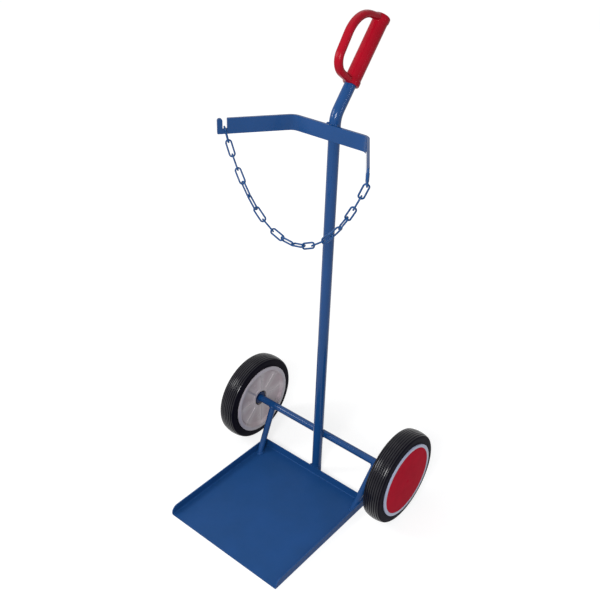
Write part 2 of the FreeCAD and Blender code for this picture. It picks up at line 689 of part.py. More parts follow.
    # Roller cage: a ring with one window for each roller
    body = wheel_body("roller_cage")
    middle = "((barrel_out + %s) / 2)" % WELL
    cage_half = "((barrel_out - %s) / 2 - end_gap)" % WELL
    cage_r = "(axle_dia / 2 + roller_dia / 2 + roller_fit)"
    revolve(body, "cage_section", [
        ("%s - %s" % (middle, cage_half), cage_r + " - cage_wall / 2"),
        ("%s + %s" % (middle, cage_half), cage_r + " - cage_wall / 2"),
        ("%s + %s" % (middle, cage_half), cage_r + " + cage_wall / 2"),
        ("%s - %s" % (middle, cage_half), cage_r + " + cage_wall / 2")])
    sketch = sketch_on(body, "XY_Plane", "window_outline")
    window = "(roller_length / 2 + roller_fit)"
    wide = "(roller_dia / 2 + roller_fit)"
    outline(sketch, [("%s - %s" % (middle, window), "-" + wide), ("%s + %s" % (middle, window), "-" + wide),
                     ("%s + %s" % (middle, window), wide), ("%s - %s" % (middle, window), wide)])
    window = feature(body, "Pocket", "window", Profile=sketch, Reversed=True, Length="axle_dia")
    doc.recompute()
    windows = feature(body, "PolarPattern", "windows", Originals=[window], Angle=360.0,
                      Occurrences="roller_count")
    windows.Axis = ([item for item in body.Origin.OriginFeatures if item.Role == "X_Axis"][0], [""])
    body.Tip = windows
    doc.recompute()

    # Rollers: one for each window
    rollers = []
    for i in range(int(size("roller_count"))):
        roller = doc.addObject("Part::Cylinder", "roller_%s_%d" % (suffix, i + 1))
        roller.setExpression("Radius", expand("roller_dia / 2"))
        roller.setExpression("Height", expand("roller_length"))
        turn = "(360 * %d / roller_count)" % i
        set_place(roller, "%d * (wheel_half_track + %s) - roller_length / 2" % (hand, middle),
                  "%s - %s * sin(%s)" % (AXLE_Y, cage_r, turn),
                  "%s + %s * cos(%s)" % (WHEEL_RADIUS, cage_r, turn), axis=(0, 1, 0), angle="90")
        rollers.append(roller)
    group = doc.addObject("Part::Compound", "bearing_rollers_" + suffix)
    group.Label = "bearing_rollers_" + suffix
    group.Links = rollers
    PARTS.append(group)

    # Axle collar, welded to the axle in the hub's well
    body = wheel_body("axle_collar")
    near_end = "(%s - end_gap)" % WELL
    revolve(body, "collar_section", [
        (near_end, "axle_dia / 2"), (near_end, "collar_dia / 2"),
        (near_end + " - collar_width", "collar_dia / 2"), (near_end + " - collar_width", "axle_dia / 2")])

    # Washer beyond the hub
    body = wheel_body("axle_washer")
    revolve(body, "washer_section", [
        ("barrel_out + washer_fit", "axle_dia / 2 + washer_fit"),
        ("barrel_out + washer_fit", "washer_dia / 2"),
        ("barrel_out + washer_fit + washer_thick", "washer_dia / 2"),
        ("barrel_out + washer_fit + washer_thick", "axle_dia / 2 + washer_fit")])

    # Split pin through the axle: a round shank, an eye above and two spread tails below
    pin_x = "(%d * %s)" % (hand, pin_at)
    shank = doc.addObject("Part::Cylinder", "pin_shank_" + suffix)
    shank.setExpression("Radius", expand("pin_dia / 2"))
    shank.setExpression("Height", expand("axle_dia + 2 * pin_dia"))
    set_place(shank, pin_x, AXLE_Y, WHEEL_RADIUS + " - axle_dia / 2 - pin_dia")
    eye = doc.addObject("Part::Torus", "pin_eye_" + suffix)
    eye.setExpression("Radius1", expand("pin_eye - pin_dia / 4"))
    eye.setExpression("Radius2", expand("pin_dia / 2"))
    set_place(eye, pin_x, AXLE_Y, WHEEL_RADIUS + " + axle_dia / 2 + pin_dia / 2 + pin_eye",
              axis=(0, 1, 0), angle="90")
    tails = []
    for name, way in (("front", "-50"), ("rear", "50")):
        tail = doc.addObject("Part::Cylinder", "pin_tail_%s_%s" % (name, suffix))
        tail.setExpression("Radius", expand("pin_dia / 2 - 0.2"))
        tail.setExpression("Height", expand("2.5 * pin_dia"))
        set_place(tail, pin_x, AXLE_Y, WHEEL_RADIUS + " - axle_dia / 2 - pin_dia",
                  axis=(1, 0, 0), angle="180 + " + way)
        tails.append(tail)
    pin = doc.addObject("Part::MultiFuse", "split_pin_" + suffix)
    pin.Label = "split_pin_" + suffix
    pin.Shapes = [shank, eye] + tails
    PARTS.append(pin)
    doc.recompute()

# Chain: the first link rides in the hook slot and leans along the bar, the last is welded
# upright to the right tip, and the links between them hang in balance

# Turn of each free link about its own length, from the left
ROLLS = [38, 128, 38, 100, 160, 40, 132, 44, 112, 2, 75, 177, 74, 148, 41, 112, 24, 124]


def solve(low, high, test):
    """Value between two bounds at which a falling test changes sign."""
    for _ in range(60):
        middle = (low + high) / 2
        if test(middle) > 0:
            low = middle
        else:
            high = middle
    return (low + high) / 2


def hang(start, finish, count, step):
    """Joints of equal rigid links that hang between two points."""
    flat = math.hypot(finish.x - start.x, finish.y - start.y)
    rise = finish.z - start.z
    across = V(finish.x - start.x, finish.y - start.y, 0) / flat

    def slopes(pull):
        def miss(c):
            return step * sum(math.sin(math.atan((k - c) / pull)) for k in range(count)) - rise

        lowest = solve(-count, 2 * count, miss)
        return [math.atan((k - lowest) / pull) for k in range(count)]

    pull = solve(1 / count, count * count, lambda p: flat - step * sum(math.cos(a) for a in slopes(p)))
    joints = [start]
    for slope in slopes(pull):
        joints.append(joints[-1] + across * (step * math.cos(slope)) + V(0, 0, step * math.sin(slope)))
    return joints


pitch = size("link_pitch")
wire = size("link_wire")
ease = size("link_slack") / 2
bend = (size("link_width") - wire) / 2
thick = size("bar_thick")
up = V(0, 0, 1)

# The first link bears on both edges of the slot floor, so its crown stands above it
crown = (bend - wire / 2) - math.sqrt((bend - wire / 2) ** 2 - (thick / 2) ** 2)
slot_mid = size("hook_finger") + size("slot_width") / 2
hook = (tip + inward * slot_mid - facing * (thick / 2)
        + up * (bar_top - size("slot_depth") + crown + 2 * ease))
lean = math.radians(size("hook_lean"))
hook_end = hook + inward * (pitch * math.sin(lean)) - up * (pitch * math.cos(lean))
arm = V(-inward.x, inward.y, 0) * -1
weld = V(-tip.x, tip.y, 0) - V(-facing.x, facing.y, 0) * (thick / 2) + arm * (bend + wire / 2)
anchor_low = weld + up * (bar_low - size("anchor_drop") + wire + ease)
anchor_high = anchor_low + up * pitch
joints = [hook] + hang(hook_end, anchor_low, len(ROLLS), pitch) + [anchor_high]
cross = (anchor_low - hook_end).cross(up).normalize() * -1

for i in range(len(joints) - 1):
    body = new_body("chain_link_%02d" % (i + 1))
    path = sketch_on(body, "XZ_Plane", "link_path")
    wide = "((link_width - link_wire) / 2)"
    leg = "((link_pitch + link_slack - link_width) / 2 + link_wire)"
    x = number(body, wide)
    z = number(body, leg)
    runs = [(x, 0, x, z), (-x, z, -x, -z), (x, -z, x, 0)]
    for x0, z0, x1, z1 in runs:
        path.addGeometry(Part.LineSegment(V(x0, z0, 0), V(x1, z1, 0)))
    path.addGeometry(Part.ArcOfCircle(Part.Circle(V(0, z, 0), V(0, 0, 1), x), 0, math.pi))
    path.addGeometry(Part.ArcOfCircle(Part.Circle(V(0, -z, 0), V(0, 0, 1), x), math.pi, 2 * math.pi))
    for first, second in (((0, 2), (3, 1)), ((3, 2), (1, 1)), ((1, 2), (4, 1)), ((4, 2), (2, 1)),
                          ((2, 2), (0, 1))):
        path.addConstraint(Sketcher.Constraint("Coincident", *first, *second))
    hold_point(path, 0, 1, wide, "0")
    hold_point(path, 0, 2, wide, leg)
    hold_point(path, 1, 1, "-" + wide, leg)
    hold_point(path, 1, 2, "-" + wide, "-" + leg)
    hold_point(path, 2, 1, wide, "-" + leg)
    hold(path, "DistanceY", leg, -1, 1, 3, 3)
    hold(path, "DistanceY", "-" + leg, -1, 1, 4, 3)
    ring = sketch_on(body, "XY_Plane", "link_section")
    circle(ring, wide, "0", "link_wire")
    feature(body, "AdditivePipe", "link", Profile=ring, Spine=path)
    length = joints[i + 1] - joints[i]
    if i == 0:
        width = facing
    elif i == len(joints) - 2:
        width = arm
    else:
        roll = math.radians(ROLLS[i - 1])
        width = cross * math.cos(roll) + length.cross(cross).normalize() * math.sin(roll)
    body.Placement = Place((joints[i] + joints[i + 1]) / 2, Turn(width, V(), length, "ZXY"))
    PARTS.append(body)
doc.recompute()

# Every object is sound, and every piece is a valid solid of its own

for item in doc.Objects:
    if "Invalid" in item.State or "Error" in item.State:
        raise RuntimeError("%s failed: %s" % (item.Name, item.State))
for item in PARTS:
    shape = item.Shape
    if shape.isNull() or not shape.isValid() or shape.Volume <= 0:
        raise RuntimeError(item.Label + " is not a valid solid")

os.makedirs("parts", exist_ok=True)
for item in PARTS:
    item.Shape.exportStep("parts/%s.step" % item.Label)
    box = item.Shape.BoundBox
    print("%-20s solids %d volume %9.0f  x %8.2f %8.2f  y %8.2f %8.2f  z %8.2f %8.2f" % (
        item.Label, len(item.Shape.Solids), item.Shape.Volume,
        box.XMin, box.XMax, box.YMin, box.YMax, box.ZMin, box.ZMax))
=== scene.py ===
import json
import math

import bmesh
import bpy
from bpy.props import FloatProperty, FloatVectorProperty, IntProperty, PointerProperty
from mathutils import Matrix, Vector


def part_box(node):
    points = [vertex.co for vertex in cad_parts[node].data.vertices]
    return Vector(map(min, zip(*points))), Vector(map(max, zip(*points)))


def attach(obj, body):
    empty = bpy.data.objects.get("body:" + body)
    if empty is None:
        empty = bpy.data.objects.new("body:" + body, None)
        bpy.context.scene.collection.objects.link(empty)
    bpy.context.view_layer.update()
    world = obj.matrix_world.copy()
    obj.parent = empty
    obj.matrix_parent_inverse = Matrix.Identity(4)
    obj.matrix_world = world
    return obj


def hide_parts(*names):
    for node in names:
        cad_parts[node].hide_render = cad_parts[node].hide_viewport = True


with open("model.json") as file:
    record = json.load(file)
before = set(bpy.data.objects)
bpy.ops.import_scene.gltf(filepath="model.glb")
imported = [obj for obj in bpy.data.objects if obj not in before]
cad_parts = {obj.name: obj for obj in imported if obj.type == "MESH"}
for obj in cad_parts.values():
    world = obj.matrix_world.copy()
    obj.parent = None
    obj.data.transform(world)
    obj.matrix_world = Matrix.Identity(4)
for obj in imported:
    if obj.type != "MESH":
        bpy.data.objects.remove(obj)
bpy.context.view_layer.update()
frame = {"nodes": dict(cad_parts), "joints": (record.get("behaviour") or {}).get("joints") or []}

bl_info = {
    "name": "Gas cylinder trolley",
    "version": (1, 0, 0),
    "blender": (4, 5, 0),
    "location": "3D View > Sidebar > Trolley",
    "description": "Finishes, tyres, welds and studio for a gas cylinder trolley",
    "category": "Object",
}

MM = 0.001
NODES = frame["nodes"]
WHEELS = {joint["child"]: Vector(joint["pos_m"]) for joint in frame["joints"]
          if joint["child"].startswith("wheel_")}


def linear(code):
    """Linear light of an sRGB hex colour."""
    parts = [int(code[i:i + 2], 16) / 255 for i in (0, 2, 4)]
    return [p / 12.92 if p <= 0.04045 else ((p + 0.055) / 1.055) ** 2.4 for p in parts]


# Settings that a user would change


def colour(name, code, description):
    return FloatVectorProperty(name=name, description=description, subtype="COLOR", size=3,
                               min=0, max=1, default=linear(code))


def length(name, millimetres, description):
    return FloatProperty(name=name, description=description, unit="LENGTH", min=0,
                         default=millimetres * MM)


def angle(name, degrees, description):
    return FloatProperty(name=name, description=description, subtype="ANGLE",
                         default=math.radians(degrees))


def power(name, watts, description):
    return FloatProperty(name=name, description=description, unit="POWER", min=0, default=watts)


class TrolleyColours(bpy.types.PropertyGroup):
    coat: colour("Powder coat", "134279", "Blue of the steel frame")
    coat_deep: colour("Powder coat, deep", "103E71", "Blue where the coat lies thicker")
    grip: colour("Grip", "A20D22", "Red of the moulded handle grip")
    cap: colour("Hub cap", "BE122E", "Red of the hub caps")
    hub: colour("Hub", "B5ACAF", "Grey of the moulded hubs' arms")
    hub_flow: colour("Hub, panels", "A6989D", "Warmer grey of the thin panels between the arms")
    # The outer lips' bluish tint is a painted reflection of the bluish side lamp
    lip: colour("Rim lip, outer", "A3ACC6", "Grey of the rim's lip round the cap, tinted with a painted bluish reflection")
    lip_back: colour("Rim lip, inner", "ACA6AE", "Grey of the rim's lip on the axle's side")
    # The near black round the axle collar is painted shade in the hubs' deep recess
    shade_in_well: colour("Collar well", "151318", "Painted shade in the recess round the axle collar")
    chain: colour("Chain lacquer", "114479", "Blue of the dipped chain")
    # The collars' darker blue is painted shade of the hubs' recess; grease only dulls their gloss
    greased_in_shade: colour("Coat, greased and in painted shade", "0A2348", "Blue of the collars inside the hubs")
    tyre: colour("Tyre", "080710", "Black of the tyre rubber")
    zinc: colour("Zinc plate", "B9BCC2", "Bright zinc on washers and split pins")
    nylon: colour("Roller cage", "C9C4B4", "Natural nylon of the roller cages")
    steel: colour("Bearing steel", "C4C2BF", "Ground steel of rollers and sleeves")


class TrolleyTyres(bpy.types.PropertyGroup):
    width: length("Width", 50, "Tyre width across the sidewalls")
    section: length("Section", 31, "Rubber from the seat to the tread's crown")
    crown: length("Crown", 70, "Radius of the tread across the tyre")
    shoulder: length("Shoulder", 5.2, "How far the shoulder's round reaches along the tread")
    groove: length("Groove", 2, "Width of one tread groove")
    depth: length("Depth", 1.5, "Depth of one tread groove")
    round: length("Round", 0.8, "Round on the edges of a rib")
    pitch: length("Pitch", 6.2, "Distance from groove to groove")
    grooves: IntProperty(name="Grooves", description="Grooves round the tread", default=7, min=1)
    steps: IntProperty(name="Steps", description="Facets round the tyre", default=180, min=24)


class TrolleyWelds(bpy.types.PropertyGroup):
    width: length("Width", 8, "Width of a fillet weld on tube and plate")
    fine: length("Fine width", 4, "Width of the tack on the last chain link")
    ripple: length("Ripple", 2.6, "Distance from ripple to ripple")
    sheet: length("Sheet", 3, "Thickness of the load plate under the struts")
    strut_width: length("Strut", 17, "Width of a strut")
    strut_head: length("Strut head", 180, "Distance of a strut's head from the middle")
    strut_foot: length("Strut foot", 167, "Distance of a strut's foot from the middle")
    strut_ahead: length("Strut foot, back", 145, "Distance of a strut's foot behind the middle")
    relief: FloatProperty(name="Relief", description="Height of a ripple as a share of the width",
                          default=0.06, min=0, max=0.5)


class TrolleyStudio(bpy.types.PropertyGroup):
    camera: FloatVectorProperty(name="Camera", description="Place of the camera", unit="LENGTH",
                                size=3, default=(0.9974, -1.1470, 1.5917))
    yaw: angle("Yaw", 38.7237, "Turn of the view to the left of +Y")
    pitch: angle("Pitch", 31.6164, "Tilt of the view below level")
    roll: angle("Roll", 1.96785, "Turn of the view about its own axis")
    lens: FloatProperty(name="Lens", description="Focal length on a 36 mm sensor", unit="CAMERA",
                        default=47.986)
    key: power("Key lamp", 52, "Power of the large soft lamp at the right front")
    left: power("Left lamp", 20, "Power of the lamp at the left front")
    side: power("Side lamp", 5, "Power of the strip lamp on the right")
    top: power("Top lamp", 14, "Power of the lamp overhead on the left")
    sky: FloatProperty(name="Room", description="Strength of the light from all round", min=0,
                       default=0.3)


SETTINGS = {"trolley_colours": TrolleyColours, "trolley_tyres": TrolleyTyres,
            "trolley_welds": TrolleyWelds, "trolley_studio": TrolleyStudio}

# Lamps: setting, place, size and tint. All of them point at the middle of the column
LAMPS = (
    ("key", (0.95, -1.85, 1.8), (1.0, 0.7), "FFFFFF"),
    ("left", (-1.5, -1.25, 1.75), (0.6, 0.9), "FFFFFF"),
    ("side", (2.4, 0.5, 1.4), (0.12, 0.7), "DDE6FF"),
    ("top", (-1.25, 0.35, 3.3), (2.6, 2.6), "FFFFFF"),
)
LAMPS_AIM = Vector((0, 0.1, 0.6))

# Ranges in millimetres over which one look of the hubs and the tray goes over into the next
WELL_TO_WEB = (22.5, 23.5)
WEB_TO_LIP = (91, 93)
BACK_TO_FRONT = (270, 272)
ARM_TO_PANEL = (8, 30)
TRAY_TO_TUBES = (26, 34)

HUB_ARMS = 8
BEAD_SIDES = 10


# Helpers for finishes


def add(tree, kind, inputs=None, **options):
    """Adds a node with its options, and fills or links its inputs."""
    node = tree.nodes.new(kind)
    for name, value in options.items():
        setattr(node, name, value)
    for name, value in (inputs or {}).items():
        if isinstance(value, bpy.types.NodeSocket):
            tree.links.new(value, node.inputs[name])
        else:
            node.inputs[name].default_value = value
    return node


def new_finish(name, **surface):
    """Material with one Principled shader whose constant numbers are given."""
    material = bpy.data.materials.new(name)
    material.use_nodes = True
    tree = material.node_tree
    tree.nodes.clear()
    titles = {key: key.replace("_", " ").title().replace("Ior", "IOR") for key in surface}
    shader = add(tree, "ShaderNodeBsdfPrincipled", {titles[key]: surface[key] for key in surface})
    add(tree, "ShaderNodeOutputMaterial", {"Surface": shader.outputs["BSDF"]})
    place = add(tree, "ShaderNodeTexCoord").outputs["Object"]
    return material, tree, shader, place


def clouds(tree, place, width, low=0.0, high=1.0, detail=2.0, grain=0.5):
    """Numbers that drift from low to high in clouds about this many millimetres wide."""
    fog = add(tree, "ShaderNodeTexNoise", {"Vector": place, "Scale": 1000 / width,
                                           "Detail": detail, "Roughness": grain})
    # Noise mostly lies between 0.3 and 0.7
    return add(tree, "ShaderNodeMapRange", {"Value": fog.outputs["Fac"], "From Min": 0.3,
                                            "From Max": 0.7, "To Min": low, "To Max": high}).outputs[0]


def two_tone(tree, shader, cloud, deep, light):
    """Colours a surface in two tones that follow a cloud."""
    tone = add(tree, "ShaderNodeMix", {0: cloud, 6: (*deep, 1), 7: (*light, 1)}, data_type="RGBA")
    tree.links.new(tone.outputs[2], shader.inputs["Base Color"])


def beyond(tree, distance, edge, near, far):
    """Colour that changes where a distance passes an edge, given as a range in millimetres."""
    start, end = edge
    step = add(tree, "ShaderNodeMapRange", {"Value": distance, "From Min": start * MM,
                                            "From Max": end * MM}, interpolation_type="SMOOTHSTEP")
    near, far = (one if isinstance(one, bpy.types.NodeSocket) else (*one, 1) for one in (near, far))
    return add(tree, "ShaderNodeMix", {0: step.outputs[0], 6: near, 7: far}, data_type="RGBA").outputs[2]


def relief(tree, shader, place, width, depth, strength, detail=1):
    """Fine relief whose bumps are given in millimetres."""
    grain = add(tree, "ShaderNodeTexNoise", {"Vector": place, "Scale": 1000 / width,
                                             "Detail": detail, "Roughness": 0.5})
    rise = add(tree, "ShaderNodeBump", {"Height": grain.outputs["Fac"], "Distance": depth * MM,
                                        "Strength": strength})
    tree.links.new(rise.outputs["Normal"], shader.inputs["Normal"])


def dress(names, material):
    """Gives CAD nodes a finish in every material slot."""
    for name in names:
        for slot in NODES[name].material_slots:
            slot.material = material


# Finishes


def powder_coat(colours):
    """Polyester powder coat, sprayed and baked: a glossy film with a faint orange peel."""
    material, tree, shader, place = new_finish("powder_coat", roughness=0.15, ior=1.5,
                                               specular_ior_level=0.22)
    two_tone(tree, shader, clouds(tree, place, 90), colours.coat_deep, colours.coat)
    # The tray lies flat in the oven and dries duller than the tubes, so it mirrors nothing
    level = add(tree, "ShaderNodeSeparateXYZ", {0: place}).outputs["Z"]
    low, high = TRAY_TO_TUBES
    dull = add(tree, "ShaderNodeMapRange", {"Value": level, "From Min": low * MM,
                                            "From Max": high * MM, "To Min": 0.4, "To Max": 0.0})
    haze = clouds(tree, place, 14, 0.12, 0.18, detail=4)
    gloss = add(tree, "ShaderNodeMath", {0: haze, 1: dull.outputs[0]}, operation="ADD")
    tree.links.new(gloss.outputs[0], shader.inputs["Roughness"])
    # Real orange peel is about 1.5 mm across, drawn at 3 mm so that it shows
    relief(tree, shader, place, 3, 0.006, 0.2)
    return material


def greased_coat(colours):
    """Powder coat dulled by bearing grease, in a darker blue that is painted shade for the collars sunk
    in the hubs.
    """
    material, tree, shader, place = new_finish("greased_coat", roughness=0.4, ior=1.5,
                                               specular_ior_level=0.1)
    # Both tones are painted shade, the lighter one still darker than the frame's coat
    less_shaded = [part * 1.5 for part in colours.greased_in_shade]
    two_tone(tree, shader, clouds(tree, place, 8, detail=3), colours.greased_in_shade, less_shaded)
    return material


def dipped_lacquer(colours):
    """The chain is dipped in the frame's blue: a thicker, duller film than the sprayed one."""
    material, tree, shader, place = new_finish("dipped_lacquer", roughness=0.25, ior=1.5,
                                               specular_ior_level=0.2)
    deep = [part * 0.85 for part in colours.chain]
    two_tone(tree, shader, clouds(tree, place, 20), deep, colours.chain)
    tree.links.new(clouds(tree, place, 7, 0.25, 0.38, detail=3), shader.inputs["Roughness"])
    return material


def soft_vinyl(colours):
    """Soft PVC, injection moulded: an even red with a soft sheen and slight waviness."""
    material, tree, shader, place = new_finish("soft_vinyl", roughness=0.25, ior=1.52,
                                               specular_ior_level=0.07)
    deep = [part * 0.85 for part in colours.grip]
    two_tone(tree, shader, clouds(tree, place, 40), deep, colours.grip)
    tree.links.new(clouds(tree, place, 6, 0.2, 0.3, detail=4), shader.inputs["Roughness"])
    relief(tree, shader, place, 25, 0.1, 0.3)
    return material


def cap_plastic(colours):
    """Polypropylene disc moulded with a fine spark-eroded grain: matt, even red."""
    material, tree, shader, place = new_finish("cap_polypropylene", roughness=0.45, ior=1.49,
                                               specular_ior_level=0.01)
    deep = [part * 0.88 for part in colours.cap]
    two_tone(tree, shader, clouds(tree, place, 30, detail=3), deep, colours.cap)
    # Real grain is about 0.3 mm, drawn at 1.5 mm so that it shows
    relief(tree, shader, place, 1.5, 0.06, 0.5)
    return material


def hub_plastic(colours):
    """Grey polypropylene hub: waxy half gloss, cloudy where the melt flowed, with a painted bluish
    reflection on the outer lips and painted shade in the collar well.
    """
    material, tree, shader, place = new_finish("hub_polypropylene", roughness=0.25, ior=1.49,
                                               specular_ior_level=0.4)
    # Both wheels share one axis, so the first one's centre serves for both
    centre = next(iter(WHEELS.values()))
    spoke = add(tree, "ShaderNodeVectorMath", {0: place, 1: centre}, operation="SUBTRACT").outputs[0]
    flat = add(tree, "ShaderNodeVectorMath", {0: spoke, 1: (0, 1, 1)}, operation="MULTIPLY")
    distance = add(tree, "ShaderNodeVectorMath", {0: flat.outputs[0]},
                   operation="LENGTH").outputs["Value"]
    parts = add(tree, "ShaderNodeSeparateXYZ", {0: spoke}).outputs
    turn = add(tree, "ShaderNodeMath", {0: parts["Y"], 1: parts["Z"]}, operation="ARCTAN2").outputs[0]
    # The angle runs up from an arm to the middle of its panel, and down again to the next arm
    off_arm = add(tree, "ShaderNodeMath", {0: turn, 1: math.pi / HUB_ARMS},
                  operation="PINGPONG").outputs[0]
    aside = add(tree, "ShaderNodeMath", {0: off_arm, 1: distance}, operation="MULTIPLY").outputs[0]
    # The melt's front leaves the edge between arm and panel ragged by up to 12 mm
    flow = add(tree, "ShaderNodeTexNoise", {"Vector": place, "Scale": 1000 / 30, "Detail": 1,
                                            "Roughness": 0.5}).outputs["Fac"]
    ragged = add(tree, "ShaderNodeMath", {0: flow, 1: 12 * MM, 2: aside},
                 operation="MULTIPLY_ADD").outputs[0]
    web = beyond(tree, ragged, ARM_TO_PANEL, colours.hub, colours.hub_flow)
    across = add(tree, "ShaderNodeSeparateXYZ", {0: place}).outputs["X"]
    out = add(tree, "ShaderNodeMath", {0: across}, operation="ABSOLUTE").outputs[0]
    # Where the lip faces outwards its grey turns bluish: a painted reflection of the side lamp
    lip = beyond(tree, out, BACK_TO_FRONT, colours.lip_back, colours.lip)
    lipped = beyond(tree, distance, WEB_TO_LIP, web, lip)
    # Inside the well's radius the hub is painted near black: painted shade in the recess round the
    # collar
    whole = beyond(tree, distance, WELL_TO_WEB, colours.shade_in_well, lipped)
    tree.links.new(whole, shader.inputs["Base Color"])
    tree.links.new(clouds(tree, place, 20, 0.2, 0.28), shader.inputs["Roughness"])
    return material


def rubber(name, colours, level, smooth, rough):
    """Solid black rubber with a little bloom, from polished to matt."""
    material, tree, shader, place = new_finish(name, roughness=rough, ior=1.52,
                                               specular_ior_level=level)
    bloom = [part * 1.5 + 0.001 for part in colours.tyre]
    two_tone(tree, shader, clouds(tree, place, 18, detail=5, grain=0.65), colours.tyre, bloom)
    tree.links.new(clouds(tree, place, 5, smooth, rough, detail=4), shader.inputs["Roughness"])
    # Real mould marks are about 0.5 mm, drawn at 4 mm so that they show
    relief(tree, shader, place, 4, 0.004, 0.3, detail=2)
    return material


def tread_rubber(colours):
    """The ribs come from a polished mould: streaks of light run along them."""
    return rubber("tread_rubber", colours, level=0.28, smooth=0.16, rough=0.22)


def wall_rubber(colours):
    """The sidewalls and grooves come from a blasted mould: dull, deep black."""
    return rubber("sidewall_rubber", colours, level=0.03, smooth=0.5, rough=0.6)


def zinc_plate(colours):
    """Bright zinc plate on steel: a grey metal with a slightly milky, brushed gloss."""
    material, tree, shader, place = new_finish("zinc_plate", metallic=1.0, roughness=0.35)
    dull = [part * 0.82 for part in colours.zinc]
    two_tone(tree, shader, clouds(tree, place, 5, detail=3), dull, colours.zinc)
    tree.links.new(clouds(tree, place, 5, 0.3, 0.42, detail=3), shader.inputs["Roughness"])
    return material


def roller_steel(colours):
    """Ground bearing steel: bright metal under a thin film of grease."""
    material, tree, shader, place = new_finish("bearing_steel", metallic=1.0, roughness=0.25,
                                               base_color=(*colours.steel, 1))
    tree.links.new(clouds(tree, place, 3, 0.18, 0.36, detail=3), shader.inputs["Roughness"])
    return material


def cage_nylon(colours):
    """Natural nylon, moulded: off-white and a little waxy."""
    material, tree, shader, place = new_finish("cage_nylon", roughness=0.45, ior=1.53)
    deep = [part * 0.9 for part in colours.nylon]
    two_tone(tree, shader, clouds(tree, place, 4, detail=3), deep, colours.nylon)
    return material


# Helpers for pieces


def new_piece(name, bm, material, body, sharp=35):
    """Turns a bmesh into a smooth-shaded piece that rides on a body."""
    mesh = bpy.data.meshes.new(name)
    bm.to_mesh(mesh)
    bm.free()
    mesh.materials.append(material)
    mesh.shade_smooth()
    mesh.set_sharp_from_angle(angle=math.radians(sharp))
    piece = bpy.data.objects.new(name, mesh)
    bpy.context.scene.collection.objects.link(piece)
    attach(piece, body)
    return piece


def ring_at(point, along, side, radius, bm, ends):
    """One round section of a bead, square to its path."""
    lift = along.cross(side).normalized()
    turn = Matrix((side.normalized(), lift, along)).transposed().to_4x4()
    found = bmesh.ops.create_circle(bm, segments=BEAD_SIDES, radius=radius, cap_ends=ends,
                                    matrix=Matrix.Translation(point) @ turn)
    return found["verts"]


def lay_bead(bm, path, width, welds, closed=False):
    """Sweeps a round section along a path, with a weld pool's ripples and rounded ends."""
    count = len(path)
    rings = []
    run = 0.0
    total = sum((b - a).length for a, b in zip(path, path[1:]))
    side = None
    for i, point in enumerate(path):
        before = path[i - 1] if i or closed else point
        after = path[(i + 1) % count] if i + 1 < count or closed else point
        along = (after - before).normalized()
        if side is None:
            side = along.orthogonal().normalized()
        side = (side - along * side.dot(along)).normalized()
        if i:
            run += (point - path[i - 1]).length
        wave = 1 + welds.relief * math.cos(2 * math.pi * run / welds.ripple)
        if not closed:
            near = min(run, total - run) / (width / 2)
            wave *= math.sqrt(max(0.04, 1 - max(0.0, 1 - near) ** 2))
        ends = not closed and i in (0, count - 1)
        rings.append(ring_at(point, along, side, width / 2 * wave, bm, ends))
    for first, second in zip(rings, rings[1:] + (rings[:1] if closed else [])):
        both = set(first) | set(second)
        edges = [e for e in {e for v in both for e in v.link_edges}
                 if (e.verts[0] in first and e.verts[1] in first)
                 or (e.verts[0] in second and e.verts[1] in second)]
        bmesh.ops.bridge_loops(bm, edges=edges)


def from_hub(point):
    """Distance of a point from the X axis."""
    return math.hypot(point.y, point.z)


def straight(start, end, step=0.9 * MM):
    """Points on a straight run."""
    count = max(2, round((end - start).length / step))
    return [start.lerp(end, i / count) for i in range(count + 1)]


# Operators


class TROLLEY_OT_frame_coat(bpy.types.Operator):
    """Coat the steel frame, its chain and its collars"""
    bl_idname = "trolley.frame_coat"
    bl_label = "Coat the frame"

    def execute(self, context):
        colours = context.scene.trolley_colours
        coat = powder_coat(colours)
        dress([name for name in NODES if name.startswith("chain_link")], dipped_lacquer(colours))
        dress([name for name in NODES if name.startswith("strut")], coat)
        # The collars get a darker coat: painted shade inside the hubs
        dress([name for name in NODES if name.startswith("axle_collar")], greased_coat(colours))
        dress(["load_plate", "column_tube", "neck_bracket", "axle_bar"], coat)
        return {"FINISHED"}


class TROLLEY_OT_grip(bpy.types.Operator):
    """Finish the moulded handle grip"""
    bl_idname = "trolley.grip"
    bl_label = "Finish the grip"

    def execute(self, context):
        finish = soft_vinyl(context.scene.trolley_colours)
        # The solid's sleeve and loop meet in creases, which the real mould blends
        bm = bmesh.new()
        bm.from_mesh(NODES["handle_grip"].data)
        bmesh.ops.remove_doubles(bm, verts=bm.verts, dist=0.01 * MM)
        mesh = bpy.data.meshes.new("moulded_grip")
        bm.to_mesh(mesh)
        bm.free()
        piece = bpy.data.objects.new("moulded_grip", mesh)
        context.scene.collection.objects.link(piece)
        grain = piece.modifiers.new("even_grain", "REMESH")
        grain.mode = "VOXEL"
        grain.voxel_size = 0.9 * MM
        blend = piece.modifiers.new("blended_joins", "SMOOTH")
        blend.factor = 0.5
        blend.iterations = 22
        context.view_layer.update()
        shape = piece.evaluated_get(context.evaluated_depsgraph_get())
        piece.modifiers.clear()
        piece.data = bpy.data.meshes.new_from_object(shape)
        piece.data.shade_smooth()
        piece.data.materials.clear()
        piece.data.materials.append(finish)
        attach(piece, "frame")
        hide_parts("handle_grip")
        return {"FINISHED"}


